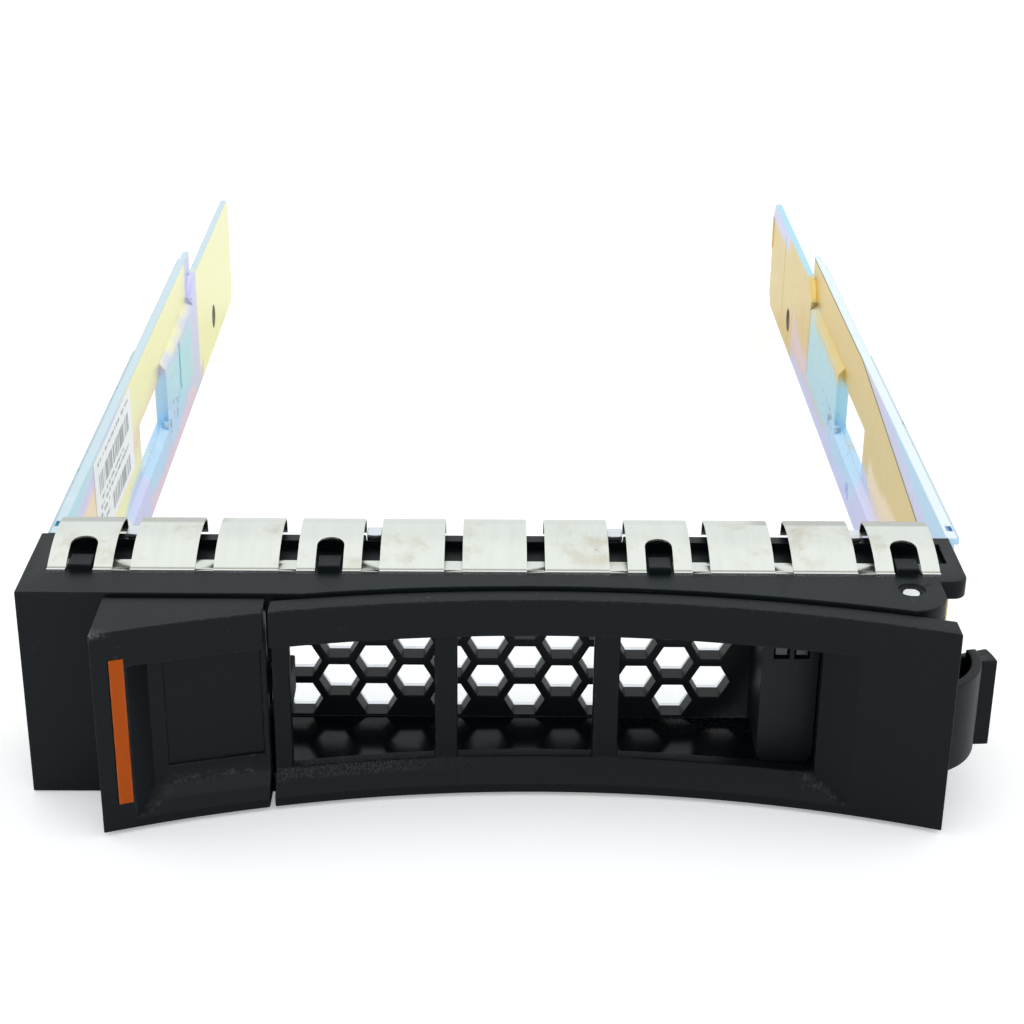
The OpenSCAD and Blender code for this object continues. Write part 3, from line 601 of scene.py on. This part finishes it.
def solid_copy(node, body, material, width, sharp=32.0):
    """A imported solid's shape with rounded edges and smooth shading, standing for its CAD node."""
    work = rounded(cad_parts[node].data, width * MM, sharp)
    data = bpy.data.meshes.new(node + "_looks")
    work.to_mesh(data)
    work.free()
    for face in data.polygons:
        face.use_smooth = True
    data.set_sharp_from_angle(angle=math.radians(sharp))
    data.materials.append(material)
    piece = bpy.data.objects.new(node + "_looks", data)
    bpy.context.scene.collection.objects.link(piece)
    if width:
        even = piece.modifiers.new("even_normals", "WEIGHTED_NORMAL")
        even.keep_sharp = True
    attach(piece, body)
    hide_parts(node)


def tube(points, radius):
    """A round wire along a list of points, closed with flat ends."""
    work = bmesh.new()
    rings = []
    for k, p in enumerate(points):
        ahead = (points[min(k + 1, len(points) - 1)] - points[max(k - 1, 0)]).normalized()
        side = ahead.cross(Vector((0, 0, 1)) if abs(ahead.z) < 0.9 else Vector((1, 0, 0))).normalized()
        other = ahead.cross(side)
        rings.append([work.verts.new(p + radius * (math.cos(t) * side + math.sin(t) * other))
                      for t in (2 * math.pi * s / WIRE_SIDES for s in range(WIRE_SIDES))])
    for a, b in zip(rings, rings[1:]):
        for s in range(WIRE_SIDES):
            after = (s + 1) % WIRE_SIDES
            work.faces.new((a[s], a[after], b[after], b[s]))
    work.faces.new(list(reversed(rings[0])))
    work.faces.new(rings[-1])
    bmesh.ops.recalc_face_normals(work, faces=work.faces)
    return work


def spring(node, turns, mean_r, wire_r, pitch, legs, place, angle, axis, material):
    """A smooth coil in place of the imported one, with the same size and legs. It is drawn along Z in mm,
    turned by angle about axis and then put at place."""
    count = round(turns * COIL_STEPS)

    def at(i):
        a = 2 * math.pi * i / COIL_STEPS
        return Vector((mean_r * math.cos(a), mean_r * math.sin(a), pitch * i / COIL_STEPS))

    def heading(i):
        a = 2 * math.pi * i / COIL_STEPS
        return Vector((-math.sin(a), math.cos(a), 0))

    path = [at(i) for i in range(count + 1)]
    if legs[0]:
        path.insert(0, at(0) - legs[0] * heading(0))
        path.append(at(count) + legs[1] * heading(count))
    place_on_carrier = Vector((place[0], place[1] + FRONT_Y, place[2]))
    move = Matrix.Translation(place_on_carrier) @ Matrix.Rotation(math.radians(angle), 4, axis)
    work = tube([(move @ p) * MM for p in path], wire_r * MM)
    data = bpy.data.meshes.new(node + "_looks")
    work.to_mesh(data)
    work.free()
    for face in data.polygons:
        face.use_smooth = len(face.vertices) == 4
    piece = bpy.data.objects.new(node + "_looks", data)
    bpy.context.scene.collection.objects.link(piece)
    data.materials.append(material)
    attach(piece, "carrier")
    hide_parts(node)
    return piece


# ---- The scene ----

make_camera()
make_floor()
make_studio()

bezel_mat = black_plastic("bezel_plastic", (0.0036, 0.0060, 0.0076), 0.42, 0.45, 1, polish=cavity_floor)
lever_mat = black_plastic("lever_plastic", (0.0029, 0.0047, 0.0062), 0.42, 0.55, 2, lever_scuffs)
latch_mat = black_plastic("latch_plastic", (0.0033, 0.0052, 0.0066), 0.42, 0.55, 3, latch_scuffs_and_bevel_sheen)
block_mat = black_plastic("indicator_plastic", (0.0125, 0.0158, 0.0172), 0.40, 0.35, 4)
spring_mat = plain_metal("spring_steel", (0.52, 0.53, 0.55), 0.28, 5)
plate_mat = plain_metal("plate_zinc", (0.80, 0.83, 0.86), 0.30, 6)
pin_mat = plain_metal("pin_steel", (0.86, 0.87, 0.88), 0.24, 7)
screw_mat = plain_metal("screw_steel", (0.70, 0.71, 0.73), 0.30, 8)
pipe_mat = light_pipe()

solid_copy("bezel_housing", "carrier", bezel_mat, 0.14)
solid_copy("lever", "lever", lever_mat, 0.18)
solid_copy("release_latch", "latch", latch_mat, 0.18)
solid_copy("touch_stripe", "latch", orange_insert(), 0.1)
solid_copy("indicator_block", "carrier", block_mat, 0.1)
solid_copy("activity_light_pipe", "carrier", pipe_mat, 0.08)
solid_copy("fault_light_pipe", "carrier", pipe_mat, 0.08)
solid_copy("front_plate", "carrier", plate_mat, 0.06)
solid_copy("shield_strip", "carrier", stainless(), 0.0, sharp=38)
solid_copy("hinge_pin", "carrier", pin_mat, 0.05)
solid_copy("frame_screws", "carrier", screw_mat, 0.06)
solid_copy("left_rail", "carrier", rail_left(), 0.12)
solid_copy("right_rail", "carrier", rail_right(), 0.12)
solid_copy("rail_label", "carrier", sticker(), 0.0)
spring("lever_spring", turns=5.75, mean_r=3.4, wire_r=0.35, pitch=0.85, legs=(3, 2.6),
       place=LEVER_COIL, angle=150, axis="Z", material=spring_mat)
latch_coil = spring("latch_spring", turns=6, mean_r=1.5, wire_r=0.25, pitch=9.5 / 6, legs=(0, 0),
                    place=LATCH_COIL, angle=90, axis="Y", material=spring_mat)
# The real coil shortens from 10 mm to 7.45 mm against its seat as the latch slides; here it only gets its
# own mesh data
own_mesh(latch_coil)
